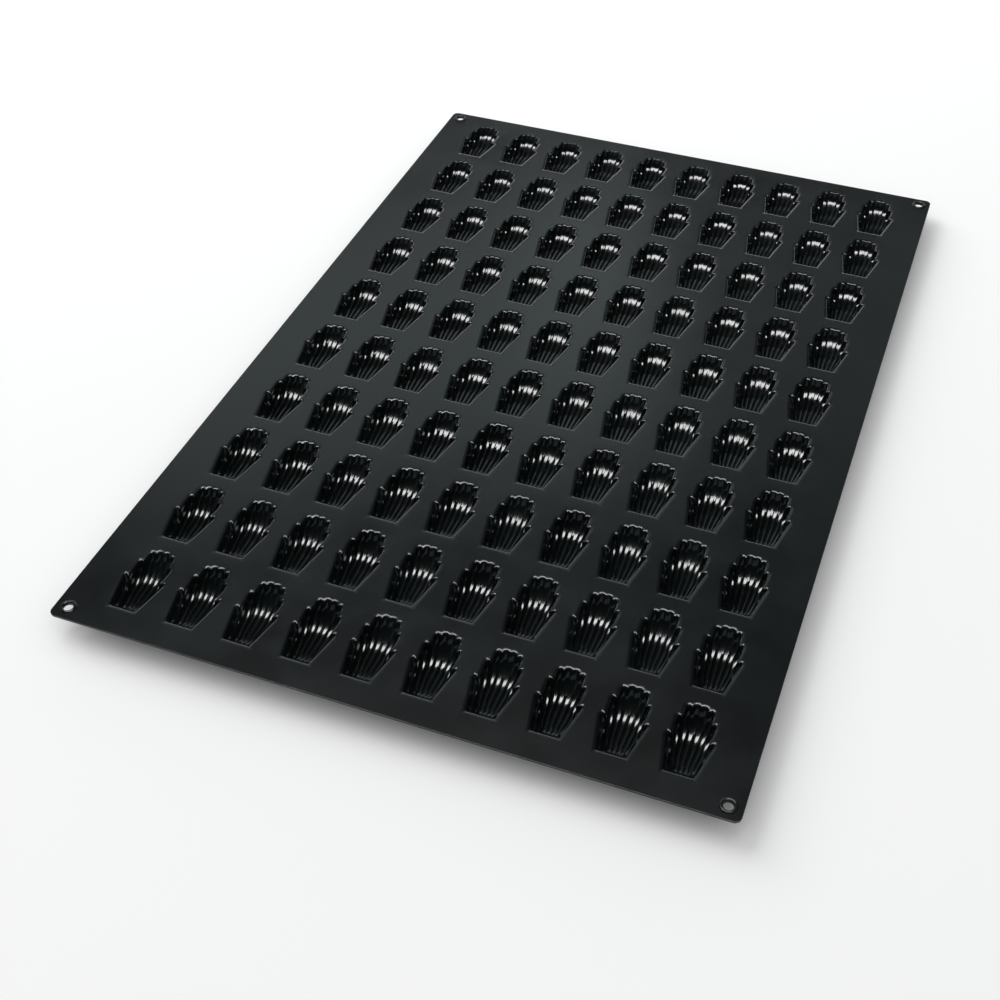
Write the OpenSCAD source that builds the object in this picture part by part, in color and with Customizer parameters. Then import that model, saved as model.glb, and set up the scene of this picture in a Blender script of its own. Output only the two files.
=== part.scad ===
// Madeleine pan: one flexible moulded sheet with rows of fluted, shell-shaped cavities.
// Origin: the middle of the footprint, on the surface that the cups stand on.
// +X runs along a row, +Y from the narrow ends of the cavities to their fans, +Z up.

/* [Sheet] */
// Length of the sheet, along the cavities
sheet_length = 600; // [300:1:640]
// Width of the sheet, along a row
sheet_width = 400; // [200:1:440]
// Thickness of the flat sheet between the cavities
sheet_thickness = 1.5; // [1:0.1:2.5]
// Radius of the sheet's four corners
corner_radius = 4; // [2:0.5:8]

/* [Cavity grid] */
// Most cavities in a row: a narrower sheet holds fewer
columns = 10; // [4:1:10]
// Most rows of cavities: a shorter sheet holds fewer
rows = 10; // [4:1:10]
// Distance from one cavity to the next along a row
column_pitch = 36.2; // [34:0.1:48]
// Distance from one row to the next
row_pitch = 58.1; // [55:0.1:75]
// How far the grid's middle lies behind the sheet's middle
grid_shift = 2.3; // [0:0.1:8]
// Least plain sheet between the grid and each short edge
least_end_border = 4.5; // [3:0.5:8]

/* [Cavity] */
// Length of a cavity, from its straight narrow end to the top of its fan
cavity_length = 48.5; // [42:0.1:53]
// Distance from the narrow end to the widest place
widest_at = 21.6; // [18:0.1:26]
// Width of the narrow end
narrow_width = 18.8; // [16:0.1:21]
// Width at the widest place
widest_width = 27.8; // [25:0.1:31]
// Depth of a cavity under the sheet's top face
cavity_depth = 11.5; // [9:0.1:14]
// Flutes across a cavity
flutes = 8; // [6:1:9]
// Height of the ridges between the flutes
ridge_height = 1.5; // [0.6:0.1:2]
// How far the rim steps in between two flutes, at the fan
scallop_depth = 1.4; // [0.6:0.1:2]
// Thickness of a cup's wall and floor
wall = 1.5; // [1.2:0.1:2.2]

/* [Corner holes] */
// Bore of a corner hole
hole_diameter = 5.6; // [4:0.1:8]
// Distance from a hole's axis to the sheet's two edges
hole_inset = 8.2; // [7:0.1:12]
// Width of the raised bead round a hole
bead_width = 2.2; // [1.2:0.1:2.6]
// Height of the bead above the sheet
bead_height = 0.8; // [0.4:0.1:1.2]
// Least clearance between the bead and the cells next to it
bead_clearance = 2; // [1:0.5:4]

/* [Hidden] */
// Stations along a flute: share of its length, and share of the full depth there
cavity_stations = [[0, 0], [0.15, 0.8], [0.55, 1], [0.83, 0.68], [1, 0]];
cup_stations = [[0, 0], [0.15, 0.8], [0.36, 1], [0.6, 1], [0.83, 0.68], [1, 0]];
// Roundness of a cavity's cross-section: 2 is an ellipse, and more is a flatter floor
roundness = 2.6;
// Overrun of a cutting solid beyond the face that it cuts
overrun = 1;
// How far the bead's section reaches down into the sheet, so that they join
bead_root = sheet_thickness / 2;

focus = widest_at * narrow_width / (widest_width - narrow_width);
side_slope = narrow_width / 2 / focus;
floor_side = 1 - 5 / flutes;
floor_depth = cavity_depth * roundoff(floor_side);
cup_height = floor_depth + wall;
least_side_border = hole_inset + hole_diameter / 2 + bead_width + bead_clearance;
columns_held = min(columns, floor((sheet_width - 2 * least_side_border) / column_pitch));
rows_held = min(rows, floor((sheet_length - 2 * (least_end_border + grid_shift)) / row_pitch));
grid_width = columns_held * column_pitch;
grid_length = rows_held * row_pitch;
side_border_width = (sheet_width - grid_width) / 2;
front_border_length = (sheet_length - grid_length) / 2 + grid_shift;
back_border_length = (sheet_length - grid_length) / 2 - grid_shift;
silicone = [0.12, 0.13, 0.13];

function odd_name(row) = str("row_", row, "_odd_cavities");
function even_name(row) = str("row_", row, "_even_cavities");

// Share of the full depth at a ray, where side runs from -1 to 1 across the cavity
function roundoff(side) = pow(1 - pow(abs(side), roundness), 0.5);

// Where a ray from the focus meets the half ellipse of the fan, measured from the narrow end
function fan_reach(slope) = let(
    half = widest_width / 2,
    arch = cavity_length - widest_at,
    a = pow(slope / half, 2) + pow(1 / arch, 2),
    b = 2 * pow(slope / half, 2) * (focus + widest_at),
    c = pow(slope * (focus + widest_at) / half, 2) - 1
) widest_at + (sqrt(b * b - 4 * a * c) - b) / (2 * a);

// A ray of a surface: [side, depth that it sinks to, length from the narrow end to the fan]
function flute_ray(side) = [side, cavity_depth * roundoff(side), fan_reach(side * side_slope)];
function ridge_ray(side) = flute_ray(side) - [0, ridge_height, scallop_depth];
function cup_ray(side) = let(r = flute_ray(side)) [side, min(r[1], floor_depth), r[2]];

// Point on a ray at a station, with the rim at z = 0, on a surface that lies grow further out
function surface_point(ray, station, grow) = let(
    y = station[0] * ray[2],
    x = (y + focus) * ray[0] * side_slope,
    wider = (widest_width / 2 + grow) / (widest_width / 2),
    longer = (cavity_length + 2 * grow) / cavity_length,
    under = station[1] > 0 ? grow : 0
) [x * wider, y * longer - grow, -station[1] * ray[1] - under];

// Point at height z on the line from an inner point through a rim point
function carried_to(z, inner, rim) = rim + (rim - inner) * (z - rim.z) / (rim.z - inner.z);

// All points of one ray, with its two ends carried up or down to height top
function ray_points(ray, stations, grow, top) = let(
    p = [for (s = stations) surface_point(ray, s, grow)],
    last = len(p) - 1
) concat(
    [carried_to(top, p[1], p[0])],
    [for (j = [1:last - 1]) p[j]],
    [carried_to(top, p[last - 1], p[last])]
);

// The two ends of a straight side of the rim, carried to height top away from the next ray
function side_points(edge, next, stations, grow, top) = let(last = len(stations) - 1) [
    for (j = [0, last]) carried_to(
        top,
        surface_point(next, stations[j == 0 ? 1 : last - 1], grow),
        surface_point(edge, stations[j], grow)
    )
];

// Solid between a fluted floor, whose outer rays are the rim's sides, and a flat lid at height top
module basin(rays, stations, grow, top) {
    n = len(rays) - 1;
    m = len(stations) - 1;
    points = concat(
        side_points(rays[0], rays[1], stations, grow, top),
        [for (i = [1:n - 1]) each ray_points(rays[i], stations, grow, top)],
        side_points(rays[n], rays[n - 1], stations, grow, top)
    );
    side_ends = 2;
    function end_of(j) = j <= m / 2 ? 0 : 1;
    function at(i, j) = i == 0 ? end_of(j)
        : i == n ? len(points) - side_ends + end_of(j)
        : side_ends + (i - 1) * (m + 1) + j;
    function differ(t) = t[0] != t[1] && t[1] != t[2] && t[2] != t[0];
    function quad(a, b, c, d) = [for (t = [[a, b, c], [a, c, d]]) if (differ(t)) t];
    floor_faces = [
        for (i = [0:n - 1], j = [0:m - 1])
            each quad(at(i, j), at(i + 1, j), at(i + 1, j + 1), at(i, j + 1))
    ];
    lid_faces = [for (i = [0:n - 1]) each quad(at(i, 0), at(i, m), at(i + 1, m), at(i + 1, 0))];
    polyhedron(points, concat(floor_faces, lid_faces));
}

// The hollow: flutes, with a ridge between each two
module cavity() {
    inner = [
        for (i = [1:2 * flutes - 1])
            let(side = i / flutes - 1) i % 2 == 1 ? flute_ray(side) : ridge_ray(side)
    ];
    basin(concat([flute_ray(-1)], inner, [flute_ray(1)]), cavity_stations, 0, overrun);
}

// The outside of the cup, plain under the flutes, with a flat bottom to stand on
module cup() {
    right = [floor_side, 1 - 3 / flutes, 1 - 1 / flutes, 1];
    left = [for (i = [3:-1:0]) -right[i]];
    basin([for (side = concat(left, [0], right)) cup_ray(side)], cup_stations, wall, -sheet_thickness / 2);
}

// One cavity with its share of the sheet, its rim's narrow end at the origin
module cell() {
    difference() {
        union() {
            translate([-column_pitch / 2, (cavity_length - row_pitch) / 2, -sheet_thickness])
                cube([column_pitch, row_pitch, sheet_thickness]);
            cup();
        }
        cavity();
    }
}

// Every second cell of a row, so that the solids of one node stay apart from each other
module cells(row, first) {
    front = -sheet_length / 2 + front_border_length + (row - 1) * row_pitch;
    color(silicone)
        for (column = [first:2:columns_held])
            translate([(column - (columns_held + 1) / 2) * column_pitch, front, cup_height])
                translate([0, (row_pitch - cavity_length) / 2, 0])
                    cell();
}

// The whole sheet's outline, with round corners
module sheet_outline() {
    square([sheet_width - 2 * corner_radius, sheet_length], center = true);
    square([sheet_width, sheet_length - 2 * corner_radius], center = true);
    for (x = [-1, 1], y = [-1, 1])
        translate([x * (sheet_width / 2 - corner_radius), y * (sheet_length / 2 - corner_radius)])
            circle(r = corner_radius, $fn = 64);
}

// Raised round lip, from its root inside the sheet, with the sheet's top face at z = 0
module bead() {
    radius = (pow(bead_width / 2, 2) + pow(bead_height, 2)) / (2 * bead_height);
    rotate_extrude($fn = 96)
        intersection() {
            translate([(hole_diameter + bead_width) / 2, bead_height - radius])
                circle(r = radius, $fn = 64);
            translate([hole_diameter / 2, -bead_root])
                square([bead_width, bead_root + bead_height]);
        }
}

// Strip of sheet along one long edge, with its two corner holes. Side is -1 on the left and 1 on the right.
module side_border(side) {
    hole_x = side * (sheet_width / 2 - hole_inset);
    hole_y = sheet_length / 2 - hole_inset;
    hole_length = sheet_thickness + bead_height + 2 * overrun;
    color(silicone)
        translate([0, 0, cup_height])
            difference() {
                union() {
                    translate([0, 0, -sheet_thickness])
                        linear_extrude(sheet_thickness)
                            intersection() {
                                sheet_outline();
                                translate([side * (grid_width + sheet_width) / 4, 0])
                                    square([side_border_width, sheet_length], center = true);
                            }
                    for (y = [-hole_y, hole_y])
                        translate([hole_x, y, 0])
                            bead();
                }
                for (y = [-hole_y, hole_y])
                    translate([hole_x, y, -sheet_thickness - overrun])
                        cylinder(d = hole_diameter, h = hole_length, $fn = 96);
            }
}

// Strip of sheet between the two long edges, from y on
module end_border(y, length) {
    color(silicone)
        translate([-grid_width / 2, y, cup_height - sheet_thickness])
            cube([grid_width, length, sheet_thickness]);
}

module left_border() {
    side_border(-1);
}

module right_border() {
    side_border(1);
}

module front_border() {
    end_border(-sheet_length / 2, front_border_length);
}

module back_border() {
    end_border(sheet_length / 2 - back_border_length, back_border_length);
}

left_border();
right_border();
front_border();
back_border();
for (row = [1:rows_held]) {
    cells(row, 1);
    cells(row, 2);
}
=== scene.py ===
import math

import bpy
from mathutils import Matrix, Vector


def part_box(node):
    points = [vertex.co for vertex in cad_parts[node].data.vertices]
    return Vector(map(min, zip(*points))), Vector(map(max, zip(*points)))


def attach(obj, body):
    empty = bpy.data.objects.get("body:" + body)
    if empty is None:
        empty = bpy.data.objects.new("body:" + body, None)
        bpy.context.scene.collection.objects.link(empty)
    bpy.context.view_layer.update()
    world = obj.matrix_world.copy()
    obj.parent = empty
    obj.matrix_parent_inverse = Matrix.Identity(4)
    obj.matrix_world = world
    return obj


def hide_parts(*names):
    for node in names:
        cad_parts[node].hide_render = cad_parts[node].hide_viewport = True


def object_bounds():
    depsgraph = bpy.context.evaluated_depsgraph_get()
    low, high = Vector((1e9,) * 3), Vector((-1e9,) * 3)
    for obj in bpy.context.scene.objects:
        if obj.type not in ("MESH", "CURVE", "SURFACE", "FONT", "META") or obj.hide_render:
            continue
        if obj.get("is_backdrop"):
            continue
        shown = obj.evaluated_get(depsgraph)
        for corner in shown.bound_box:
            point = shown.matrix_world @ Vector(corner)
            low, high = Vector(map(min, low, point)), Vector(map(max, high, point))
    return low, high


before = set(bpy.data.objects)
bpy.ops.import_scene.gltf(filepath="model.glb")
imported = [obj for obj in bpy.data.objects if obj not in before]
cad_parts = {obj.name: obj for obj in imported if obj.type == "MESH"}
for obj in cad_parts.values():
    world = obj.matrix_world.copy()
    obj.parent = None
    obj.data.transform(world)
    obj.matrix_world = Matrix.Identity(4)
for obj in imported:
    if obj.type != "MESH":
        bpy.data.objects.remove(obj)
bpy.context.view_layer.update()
for node_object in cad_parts.values():
    node_object.select_set(False)

# Cup with its share of the flat sheet round it, modelled once and copied a hundred times.
# It is silicone rubber about 1.5 mm thick, pressed in one with the whole mat in a heated steel mould, whose
# upper half has a fluted shell for each cup, so the hollow is fluted and the outside of the cup is plain.
first_low, first_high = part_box("row_1_odd_cavities")
column_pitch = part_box("row_1_even_cavities")[0].x - first_low.x
row_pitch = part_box("row_2_odd_cavities")[0].y - first_low.y
cup_height = first_high.z - first_low.z
sheet_thickness = 0.0015

# Hollow: its outline widens in straight lines from the straight narrow end, and eight flutes run from there
# to the fan, each with a rounded end of its own, so that the fan steps back towards the sides.
cavity_length = 0.0485
widest_at = 0.0216
narrow_width = 0.0188
widest_width = 0.0278
cavity_depth = 0.0115
focus = widest_at * narrow_width / (widest_width - narrow_width)
side_slope = narrow_width / 2 / focus
share_front = (cavity_length - row_pitch) / 2
flutes = 8
flute_flatness = 2.2
side_roundness = 3.6
flute_lengths = (0.0472, 0.0457, 0.0377, 0.0252)
notch = 0.0007
step_roundness = 2.2
tiny = 1e-6


def superellipse(share, roundness):
    return math.sqrt(max(0, 1 - abs(share) ** roundness))


# Number of the flute at a place, counted from the middle outwards, and the place across it from -1 to 1
def across_flute(side):
    number = min(abs(side) * flutes / 2, flutes / 2 - tiny)
    return int(number), 2 * (number % 1) - 1


# Value that each flute has at its middle, led over to the next flute's in a rounded step
def stepped(side, values, dip=0):
    number, across = across_flute(side)
    if across <= 0:
        return values[number] - dip * across**2
    if number + 1 == flutes // 2:
        return values[number]
    next_value = values[number + 1] - dip
    return next_value + (values[number] - next_value) * superellipse(across, step_roundness)


def flute_end(side):
    return stepped(side, flute_lengths, notch)


def flute_depth(side):
    number, across = across_flute(side)
    flat_side = (2 * number + 1 + math.copysign(abs(across) ** flute_flatness, across)) / flutes
    return cavity_depth * superellipse(flat_side, side_roundness)


# Ridges between the flutes: sharp at the top, faint at the narrow end and full from halfway on. Their heights
# and the share of them that is left at the fan are given from the middle ridge outwards.
ridge_heights = (0.0008, 0.0008, 0.001, 0.0022)
ridge_ends = (0.5, 0.5, 0.7, 1)
ridge_sharpness = 4.2
faintest_ridge = 0.15
ridge_full_at = 0.5
ridge_fades_from = 0.55


def ridge_rise(side, along):
    number, across = across_flute(side)
    ridge = number + (across > 0)
    if ridge == flutes // 2:
        return 0
    grown = faintest_ridge + (1 - faintest_ridge) * min(1, along / ridge_full_at) ** 2
    fade = max(0, (along - ridge_fades_from) / (1 - ridge_fades_from))
    height = ridge_heights[ridge] * (grown - (1 - ridge_ends[ridge]) * fade)
    return height * abs(across) ** ridge_sharpness


# Length section: a rounded narrow end, a level floor, and a long rise to a short steep wall at the fan.
# The rise starts and would end at these distances from the narrow end, from the middle flute outwards.
lip_inset = 0.0016
level_from = 0.014
narrow_end_roundness = 2.5
rise_starts = (0.0255, 0.025, 0.0213, 0.0136)
rise_ends = (0.0472, 0.0465, 0.042, 0.0286)
rise_share = 0.72
rise_curve = 1.9
end_wall_steepness = 36
side_ease = 0.7


def depth_share(side, along):
    y = lip_inset + along * (flute_end(side) - lip_inset)
    walls = superellipse(along, end_wall_steepness * (1 - side_ease * side**2))
    if y < level_from:
        walls *= superellipse((level_from - y) / (level_from - lip_inset), narrow_end_roundness)
    rise_from, rise_to = stepped(side, rise_starts), stepped(side, rise_ends)
    return (1 - rise_share * (max(0, y - rise_from) / (rise_to - rise_from)) ** rise_curve) * walls


# Point on the hollow, with the sheet's top face at z = 0. Side runs from -1 to 1 across the hollow, and along
# from 0 at the narrow end to 1 at the fan.
def hollow_point(side, along):
    depth = max(0, flute_depth(side) - ridge_rise(side, along))
    y = lip_inset + along * (flute_end(side) - lip_inset)
    x = side * ((y + focus) * side_slope - lip_inset)
    return Vector((x, y, -depth_share(side, along) * depth))


# Outside of the cup: plain, a wall's thickness away from the flutes and a little more at the fan, with a flat
# bottom to stand on
wall = 0.0015
fan_wall_extra = 0.0012
floor_depth = cup_height - wall


def fan_reach(slope):
    steep = (slope / (widest_width / 2)) ** 2
    a = steep + 1 / (cavity_length - widest_at) ** 2
    b = 2 * steep * (focus + widest_at)
    c = steep * (focus + widest_at) ** 2 - 1
    return widest_at + (math.sqrt(b * b - 4 * a * c) - b) / (2 * a)


def outside_point(side, along):
    depth = min(floor_depth, cavity_depth * superellipse(side, side_roundness))
    y = along * fan_reach(side * side_slope)
    wider = (widest_width + 2 * wall) / widest_width
    longer = (cavity_length + 2 * wall + fan_wall_extra) / cavity_length
    x = (y + focus) * side * side_slope * wider
    fall = depth_share(side, along) * (depth + wall - sheet_thickness)
    return Vector((x, y * longer - wall, -sheet_thickness - fall))


# Rounded lip of the hollow, from the hollow outwards: distance out, and depth under the sheet's top face,
# both a tenth less at the fan. Under the sheet a plain fillet leads over to the outside of the cup.
lip_profile = (
    (0, 0.00105), (0.00008, 0.0008), (0.0002, 0.00067), (0.00038, 0.00055), (0.0008, 0.00034),
    (0.00128, 0.00018), (0.00188, 0.00005), (0.00249, 0),
)
fan_lip = 0.9
fillet_radius = 0.0012
fillet_steps = 3
fillet_turns = [math.radians(90) * (1 - i / fillet_steps) for i in range(fillet_steps + 1)]
fillet_profile = [
    (fillet_radius * (1 - math.sin(turn)), fillet_radius * (1 - math.cos(turn))) for turn in fillet_turns
]
fan_samples = 400


# Point at a distance out from the fan's stepped rim, along a line from the focus
def rolled_out(point, fan_points, out):
    ray_start = Vector((0, -focus))
    ray = (point - ray_start).normalized()
    reach = (point - ray_start).length + out
    for other in fan_points:
        ahead = (other - ray_start).dot(ray)
        beside = (other - ray_start).cross(ray)
        if abs(beside) <= out:
            reach = max(reach, ahead + math.sqrt(out**2 - beside**2))
    return ray_start + ray * reach


def lip_point(side, along, out, surface_point, fan_points):
    point = surface_point(side, along).xy
    if along == 1:
        return rolled_out(point, fan_points, out)
    beside = Vector((side, -side_slope)) * out if abs(side) == 1 else Vector((0, 0))
    before = Vector((0, -out)) if along == 0 else Vector((0, 0))
    return point + beside + before


# Edge of the cup's share of the sheet, a rectangle of one pitch by the other
def share_edge(side, along):
    if along == 1:
        y = min(share_front + row_pitch, column_pitch / 2 / side_slope / max(tiny, abs(side)) - focus)
        return Vector(((y + focus) * side * side_slope, y))
    return Vector((side * column_pitch / 2, share_front + (widest_at - share_front) * along))


steps_per_flute = 6
steps_along_flute = 30


# One skin of the cup: a grid, whose edge is extruded once for each further ring of the lip and once for the
# sheet, and whose points are then set on the surface
def skin(name, surface_point, height, profile):
    bpy.ops.mesh.primitive_grid_add(
        x_subdivisions=flutes * steps_per_flute, y_subdivisions=steps_along_flute, size=2
    )
    piece = bpy.context.object
    piece.name = name
    bpy.ops.object.mode_set(mode="EDIT")
    bpy.ops.mesh.select_mode(type="EDGE")
    bpy.ops.mesh.select_all(action="DESELECT")
    bpy.ops.mesh.select_non_manifold()
    for ring in profile:
        bpy.ops.mesh.extrude_edges_move()
        bpy.ops.transform.translate(value=(0, 0, 1))
    bpy.ops.object.mode_set(mode="OBJECT")
    vertices = piece.data.vertices
    places = [(v.co.x, (v.co.y + 1) / 2, round(v.co.z)) for v in vertices]
    fan_points = [surface_point(2 * i / fan_samples - 1, 1).xy for i in range(fan_samples + 1)]
    for v, (side, along, ring) in zip(vertices, places):
        if ring == len(profile):
            v.co = (*share_edge(side, along), height)
        elif abs(side) == 1 or along in (0, 1):
            share = 1 + (fan_lip - 1) * along
            out, sunk = (size * share for size in profile[ring])
            v.co = (*lip_point(side, along, out, surface_point, fan_points), height - sunk)
        else:
            v.co = surface_point(side, along)
    edge_points = [v for v, p in zip(vertices, places) if p[2] == len(profile)]
    for x in (-column_pitch / 2, column_pitch / 2):
        for y in (share_front, share_front + row_pitch):
            corner = Vector((x, y, height))
            min(edge_points, key=lambda v: (v.co - corner).length).co = corner
    return piece


def select_pieces(pieces):
    bpy.ops.object.select_all(action="DESELECT")
    for piece in pieces:
        piece.select_set(True)
    bpy.context.view_layer.objects.active = pieces[0]


# Smooth shading below an angle between faces, in degrees, in which the large faces weigh most
def shade(piece, sharp_from):
    select_pieces([piece])
    bpy.ops.object.shade_smooth_by_angle(angle=math.radians(sharp_from))
    bpy.ops.object.modifier_add(type="WEIGHTED_NORMAL")
    weighted = piece.modifiers[-1]
    weighted.keep_sharp = True
    bpy.ops.object.modifier_apply(modifier=weighted.name)


cup = skin("cup", hollow_point, 0, lip_profile)
outside = skin("cup_outside", outside_point, -sheet_thickness, fillet_profile)
select_pieces([cup, outside])
bpy.ops.object.join()
bpy.ops.object.mode_set(mode="EDIT")
bpy.ops.mesh.select_all(action="DESELECT")
bpy.ops.mesh.select_non_manifold()
bpy.ops.mesh.bridge_edge_loops()
bpy.ops.mesh.select_all(action="SELECT")
bpy.ops.mesh.normals_make_consistent(inside=False)
bpy.ops.object.mode_set(mode="OBJECT")
shade(cup, sharp_from=60)


def linear(hex_colour):
    parts = [int(hex_colour[i:i + 2], 16) / 255 for i in (1, 3, 5)]
    return (*(p / 12.92 if p < 0.04045 else ((p + 0.055) / 1.055) ** 2.4 for p in parts), 1)


def add_node(tree, kind, settings=(), links=()):
    node = tree.nodes.new(kind)
    for name, value in dict(settings).items():
        if name in node.inputs:
            node.inputs[name].default_value = value
        else:
            setattr(node, name, value)
    for name, source in dict(links).items():
        tree.links.new(source, node.inputs[name])
    return node


# Black-green silicone rubber, compression moulded: an even body colour and a soft wet-looking sheen, since
# rubber copies the mould's finish. The polished shells leave the hollows glossier than the blasted flat.
rubber_dark = "#0a0e0f"
rubber_light = "#101617"
rubber_ior = 1.43
hollow_roughness = 0.12
flat_roughness = 0.24
flat_finish_from = cup_height - 0.0009
flat_finish_to = cup_height - 0.0002
rubber = bpy.data.materials.new("silicone_rubber_compression_moulded")
rubber.use_nodes = True
tree = rubber.node_tree
shader = tree.nodes["Principled BSDF"]
shader.inputs["IOR"].default_value = rubber_ior
place = add_node(tree, "ShaderNodeTexCoord")
height = add_node(tree, "ShaderNodeSeparateXYZ", links={"Vector": place.outputs["Object"]})
finish = add_node(
    tree, "ShaderNodeMapRange",
    {
        "From Min": flat_finish_from, "From Max": flat_finish_to,
        "To Min": hollow_roughness, "To Max": flat_roughness,
    },
    {"Value": height.outputs["Z"]},
)

# Flow marks of the rubber, clouds some 35 mm across, a little duller and lighter where it cured last
cloud_size = 0.035
cloud_from = 0.3
cloud_to = 0.7
cloud_gloss = 0.02
cloud_dullness = 0.03
cloud = add_node(
    tree, "ShaderNodeTexNoise", {"Scale": 1 / cloud_size, "Detail": 3, "Roughness": 0.55},
    {"Vector": place.outputs["Object"]},
)
uneven = add_node(
    tree, "ShaderNodeMapRange",
    {"From Min": cloud_from, "From Max": cloud_to, "To Min": -cloud_gloss, "To Max": cloud_dullness},
    {"Value": cloud.outputs["Fac"]},
)
roughness = add_node(tree, "ShaderNodeMath", {"operation": "ADD"})
tree.links.new(finish.outputs["Result"], roughness.inputs[0])
tree.links.new(uneven.outputs["Result"], roughness.inputs[1])
tree.links.new(roughness.outputs["Value"], shader.inputs["Roughness"])
colour = add_node(tree, "ShaderNodeValToRGB", links={"Fac": cloud.outputs["Fac"]})
for stop, position, tone in zip(
    colour.color_ramp.elements, (cloud_from, cloud_to), (rubber_dark, rubber_light)
):
    stop.position = position
    stop.color = linear(tone)
tree.links.new(colour.outputs["Color"], shader.inputs["Base Color"])

# Grain of the blasted mould: really about 0.1 mm, drawn 1.2 mm across and 0.03 mm high, to show at all
grain_size = 0.0012
grain_height = 0.00003
grain_strength = 0.5
grain = add_node(
    tree, "ShaderNodeTexNoise", {"Scale": 1 / grain_size, "Detail": 2}, {"Vector": place.outputs["Object"]}
)
bump = add_node(
    tree, "ShaderNodeBump", {"Strength": grain_strength, "Distance": grain_height},
    {"Height": grain.outputs["Fac"]},
)
tree.links.new(bump.outputs["Normal"], shader.inputs["Normal"])
cup.data.materials.append(rubber)

# Rows of cups: ten rows of ten, all of one moulding, and each row is parted into its odd and even cups.
# Neighbours meet on the lines midway between the cups, where the flat sheet runs on without a seam.
rows = 0
while f"row_{rows + 1}_odd_cavities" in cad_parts:
    rows += 1
for row in range(1, rows + 1):
    for kind in ("odd", "even"):
        node = f"row_{row}_{kind}_cavities"
        low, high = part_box(node)
        cups = round((high.x - low.x - column_pitch) / (2 * column_pitch)) + 1
        copies = []
        for i in range(cups):
            copy = cup.copy()
            copy.data = cup.data.copy()
            bpy.context.collection.objects.link(copy)
            centre = low.x + column_pitch / 2 + i * 2 * column_pitch
            copy.data.transform(Matrix.Translation((centre, low.y - share_front, cup_height)))
            copies.append(copy)
        select_pieces(copies)
        bpy.ops.object.join()
        piece = copies[0]
        piece.name = f"row_{row}_{kind}_cups"
        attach(piece, "root")
        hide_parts(node)
bpy.data.objects.remove(cup)

# Edge strips: the plain rubber outside the cups, moulded in one with them and cut to size at the outline.
# The cut edges are slightly round, the mat's corners have a radius of 4 mm, and each long strip has a hole
# near its two corners, for hanging the mat, in a raised bead that keeps the rubber from tearing.
corner_radius = 0.004
corner_steps = 8
edge_radius = 0.0002
edge_steps = 2
hole_diameter = 0.0056
hole_inset = 0.0082
bead_width = 0.0022
bead_height = 0.0008
bead_turns = 64
bead_steps = 10
bead_reach = hole_diameter / 2 + bead_width
bead_radius = ((bead_width / 2) ** 2 + bead_height**2) / (2 * bead_height)
upright_below = 0.5
same_place = 1e-6
merge_distance = 0.00002


def select_edges(piece, wanted):
    bpy.ops.mesh.select_mode(type="EDGE")
    bpy.ops.mesh.select_all(action="DESELECT")
    bpy.ops.object.mode_set(mode="OBJECT")
    points = piece.data.vertices
    for edge in piece.data.edges:
        edge.select = wanted(*(points[i].co for i in edge.vertices))
    bpy.ops.object.mode_set(mode="EDIT")


# Round opening for a bead, without the wall that the cut leaves. A stray point goes to the rim's next one.
def cut_round(piece, x, y, radius):
    bpy.ops.object.select_all(action="DESELECT")
    bpy.ops.mesh.primitive_cylinder_add(
        vertices=bead_turns, radius=radius, depth=cup_height, location=(x, y, cup_height)
    )
    cutter = bpy.context.object
    select_pieces([piece])
    bpy.ops.object.modifier_add(type="BOOLEAN")
    cut = piece.modifiers[-1]
    cut.object = cutter
    cut.operation = "DIFFERENCE"
    cut.solver = "EXACT"
    bpy.ops.object.modifier_apply(modifier=cut.name)
    bpy.data.objects.remove(cutter)
    bpy.ops.object.mode_set(mode="EDIT")
    bpy.ops.mesh.select_mode(type="FACE")
    bpy.ops.mesh.select_all(action="DESELECT")
    bpy.ops.object.mode_set(mode="OBJECT")
    centre = Vector((x, y))
    for face in piece.data.polygons:
        inside = (face.center.xy - centre).length < radius + same_place
        face.select = inside and abs(face.normal.z) < upright_below
    bpy.ops.object.mode_set(mode="EDIT")
    bpy.ops.mesh.delete(type="FACE")
    bpy.ops.object.mode_set(mode="OBJECT")
    rim = [v for v in piece.data.vertices if abs((v.co.xy - centre).length - radius) < same_place]
    for v in piece.data.vertices:
        if (v.co.xy - centre).length < radius - same_place:
            v.co = min((r.co for r in rim), key=lambda place: (place - v.co).length)


# Bead and bore as one skin: a circle extruded over the bead, down through the hole and out again below
def bead_skin(x, y):
    rings = []
    for i in range(bead_steps + 1):
        across = 2 * i / bead_steps - 1
        rise = math.sqrt(bead_radius**2 - (across * bead_width / 2) ** 2) - bead_radius + bead_height
        rings.append((bead_reach - bead_width * i / bead_steps, cup_height + rise))
    rings.append((hole_diameter / 2, cup_height - sheet_thickness))
    rings.append((bead_reach, cup_height - sheet_thickness))
    bpy.ops.object.select_all(action="DESELECT")
    bpy.ops.mesh.primitive_circle_add(vertices=bead_turns, radius=bead_reach, location=(x, y, 0))
    piece = bpy.context.object
    bpy.ops.object.transform_apply(location=True, rotation=True, scale=True)
    bpy.ops.object.mode_set(mode="EDIT")
    bpy.ops.mesh.select_all(action="SELECT")
    for ring in rings[1:]:
        bpy.ops.mesh.extrude_edges_move()
        bpy.ops.transform.translate(value=(0, 0, 1))
    bpy.ops.object.mode_set(mode="OBJECT")
    centre = Vector((x, y))
    for v in piece.data.vertices:
        radius, z = rings[round(v.co.z)]
        v.co = (*(centre + (v.co.xy - centre).normalized() * radius), z)
    return piece


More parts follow.
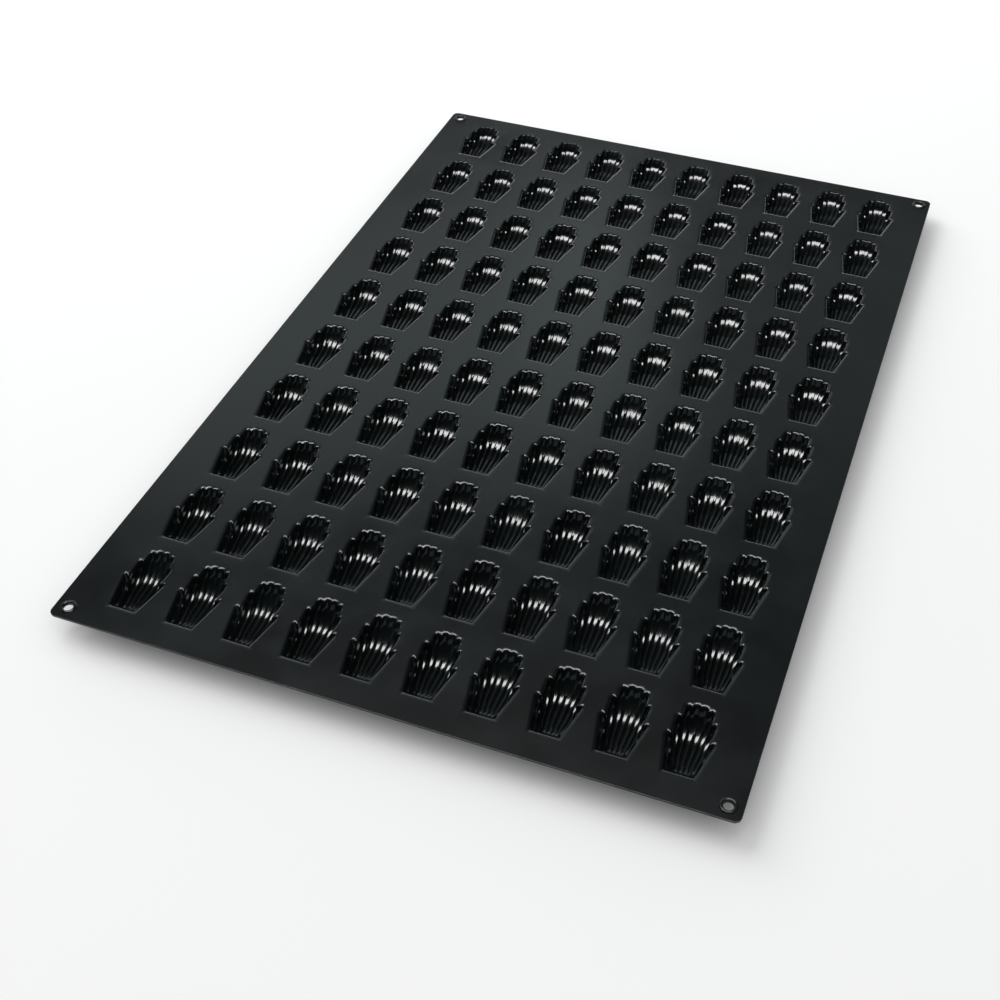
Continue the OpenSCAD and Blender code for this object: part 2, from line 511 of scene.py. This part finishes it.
for name in ("left", "right", "front", "back"):
    low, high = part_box(name + "_border")
    centre = ((low.x + high.x) / 2, (low.y + high.y) / 2, cup_height - sheet_thickness / 2)
    bpy.ops.object.select_all(action="DESELECT")
    bpy.ops.mesh.primitive_cube_add(
        size=1, location=centre, scale=(high.x - low.x, high.y - low.y, sheet_thickness)
    )
    piece = bpy.context.object
    piece.name = name + "_edge"
    bpy.ops.object.transform_apply(location=True, rotation=True, scale=True)
    bpy.ops.object.mode_set(mode="EDIT")
    outer = {"left": low.x, "right": high.x, "front": low.y, "back": high.y}[name]
    inner = {"left": high.x, "right": low.x, "front": high.y, "back": low.y}[name]
    axis = 0 if name in ("left", "right") else 1

    def upright_outside(a, b):
        return abs(a[axis] - outer) < same_place and abs(b[axis] - outer) < same_place and a.z != b.z

    def level_rim(a, b):
        if abs(a.z - b.z) > same_place:
            return False
        if axis == 0:
            return not (abs(a.x - inner) < same_place and abs(b.x - inner) < same_place)
        return abs(a.y - b.y) < same_place and abs(a.y - inner) > same_place

    if axis == 0:
        select_edges(piece, upright_outside)
        bpy.ops.mesh.bevel(offset=corner_radius, segments=corner_steps, affect="EDGES")
    select_edges(piece, level_rim)
    bpy.ops.mesh.bevel(offset=edge_radius, segments=edge_steps, affect="EDGES")
    bpy.ops.object.mode_set(mode="OBJECT")
    if axis == 0:
        x = outer + math.copysign(hole_inset, inner - outer)
        for y in (low.y + hole_inset, high.y - hole_inset):
            cut_round(piece, x, y, bead_reach)
            select_pieces([piece, bead_skin(x, y)])
            bpy.ops.object.join()
            bpy.ops.object.mode_set(mode="EDIT")
            bpy.ops.mesh.select_all(action="SELECT")
            bpy.ops.mesh.remove_doubles(threshold=merge_distance)
            bpy.ops.mesh.normals_make_consistent(inside=False)
            bpy.ops.object.mode_set(mode="OBJECT")
    shade(piece, sharp_from=40)
    piece.data.materials.append(rubber)
    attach(piece, "root")
    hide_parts(name + "_border")

# Floor: a matt white sheet of studio paper, plain and wide enough that no view shows its end near the mat.
floor_size = 8
floor_white = "#fafafa"
floor_roughness = 0.9
bpy.ops.object.select_all(action="DESELECT")
bpy.ops.mesh.primitive_plane_add(size=floor_size, location=(0, 0, 0))
floor = bpy.context.object
floor.name = "floor"
floor_paint = bpy.data.materials.new("matt_white_studio_paper")
floor_paint.use_nodes = True
floor_shader = floor_paint.node_tree.nodes["Principled BSDF"]
floor_shader.inputs["Base Color"].default_value = linear(floor_white)
floor_shader.inputs["Roughness"].default_value = floor_roughness
floor.data.materials.append(floor_paint)
floor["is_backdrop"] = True

# Studio air: plain white light from all round for matt surfaces, white where the camera sees it, and nearly
# black in the rubber's gloss, where only the lamps and cards below show.
plain_white = "#ffffff"
ambient_level = 0.6
gloss_level = 0.01
world = bpy.data.worlds.new("studio")
world.use_nodes = True
bpy.context.scene.world = world
studio = world.node_tree
ambient = studio.nodes["Background"]
ambient.inputs["Color"].default_value = linear(plain_white)
ambient.inputs["Strength"].default_value = ambient_level
ray = add_node(studio, "ShaderNodeLightPath")
dim = add_node(studio, "ShaderNodeBackground", {"Color": linear(plain_white), "Strength": gloss_level})
seen = add_node(studio, "ShaderNodeBackground", {"Color": linear(plain_white), "Strength": 1})
in_gloss = add_node(studio, "ShaderNodeMixShader")
studio.links.new(ray.outputs["Is Glossy Ray"], in_gloss.inputs[0])
studio.links.new(ambient.outputs[0], in_gloss.inputs[1])
studio.links.new(dim.outputs[0], in_gloss.inputs[2])
in_camera = add_node(studio, "ShaderNodeMixShader")
studio.links.new(ray.outputs["Is Camera Ray"], in_camera.inputs[0])
studio.links.new(in_gloss.outputs[0], in_camera.inputs[1])
studio.links.new(seen.outputs[0], in_camera.inputs[2])
studio.links.new(in_camera.outputs[0], studio.nodes["World Output"].inputs["Surface"])


# Direction from the mat to a lamp or the camera. Azimuth 0 is in front of the mat, 90 on its right and 180
# behind it.
def direction(azimuth, elevation):
    turn, tilt = math.radians(azimuth), math.radians(elevation)
    return Vector((math.sin(turn) * math.cos(tilt), -math.cos(turn) * math.cos(tilt), math.sin(tilt)))


middle = Vector((0, 0, cup_height))


# Rectangular lamp of even radiance, in metres, aimed at a point
def softbox(name, azimuth, elevation, distance, width, depth, radiance, aim=middle):
    data = bpy.data.lights.new(name, "AREA")
    data.shape = "RECTANGLE"
    data.size = width
    data.size_y = depth
    data.energy = radiance * math.pi * width * depth
    lamp = bpy.data.objects.new(name, data)
    bpy.context.scene.collection.objects.link(lamp)
    away = direction(azimuth, elevation)
    lamp.location = aim + away * distance
    lamp.rotation_mode = "QUATERNION"
    lamp.rotation_quaternion = away.to_track_quat("Z", "Y")
    return lamp


# Key light from the left and behind: it gives the floor a good third of its light and the mat its shadow on
# the front and the right.
key_share = 0.38
key_elevation = 32
key_distance = 6
key_size = 4.4
key_radiance = key_share * math.pi * key_distance**2 / math.sin(math.radians(key_elevation)) / key_size**2
key = softbox(
    "key", azimuth=240, elevation=key_elevation, distance=key_distance, width=key_size, depth=key_size,
    radiance=key_radiance,
)
key.visible_glossy = False

# Long strip light overhead, left of the middle: it shows only as the light band on the rising floor of each
# hollow.
strip_aim = middle + Vector((-0.45, 0, 0))
strip = softbox(
    "overhead_strip", azimuth=180, elevation=88.5, distance=3, width=2.6, depth=0.54, radiance=23,
    aim=strip_aim,
)
strip.visible_diffuse = False

# Dim cards behind the mat: they give the flat sheet its grey-green sheen, lighter at the left and the back,
# and the hollows' lips their line of light.
card_colour = "#e6f5f8"
for name, azimuth, width, radiance in (("left_card", 212, 1.15, 1), ("right_card", 186, 0.9, 0.42)):
    card = softbox(name, azimuth, elevation=37, distance=2, width=width, depth=0.6, radiance=radiance)
    card.data.color = linear(card_colour)[:3]
softbox("sky_card", azimuth=212, elevation=61, distance=2, width=1.2, depth=0.5, radiance=0.2)
softbox("horizon_card", azimuth=200, elevation=9.5, distance=2.2, width=4.4, depth=0.55, radiance=2)

# Dimmer cards on the other sides, so that the sheen is there too when the mat is seen from behind or beside.
for name, azimuth, width, radiance in (
    ("front_card", 20, 5, 0.45), ("far_left_card", 275, 3.6, 0.3), ("far_right_card", 95, 3.6, 0.22),
):
    card = softbox(name, azimuth, elevation=27, distance=3, width=width, depth=1.5, radiance=radiance)
    card.visible_diffuse = False
    card.data.color = linear(card_colour)[:3]

# Camera at the photograph's viewing angle, above the front right, at a normal angle of view.
camera_azimuth = 19.885
camera_elevation = 44.092
camera_roll = 0.222
camera_distance = 0.869
camera_aim = Vector((0.02747, -0.1187, 0.01254))
camera_data = bpy.data.cameras.new("camera")
camera_data.sensor_width = 36
camera_data.lens = 51.3689
camera_data.shift_x = -0.038126
camera = bpy.data.objects.new("camera", camera_data)
bpy.context.scene.collection.objects.link(camera)
back = direction(camera_azimuth, camera_elevation)
camera.location = camera_aim + back * camera_distance
camera.rotation_mode = "QUATERNION"
roll = Matrix.Rotation(math.radians(camera_roll), 4, "Z").to_quaternion()
camera.rotation_quaternion = back.to_track_quat("Z", "Y") @ roll
bpy.context.scene.camera = camera
bpy.context.scene.view_settings.view_transform = "Standard"

low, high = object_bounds()
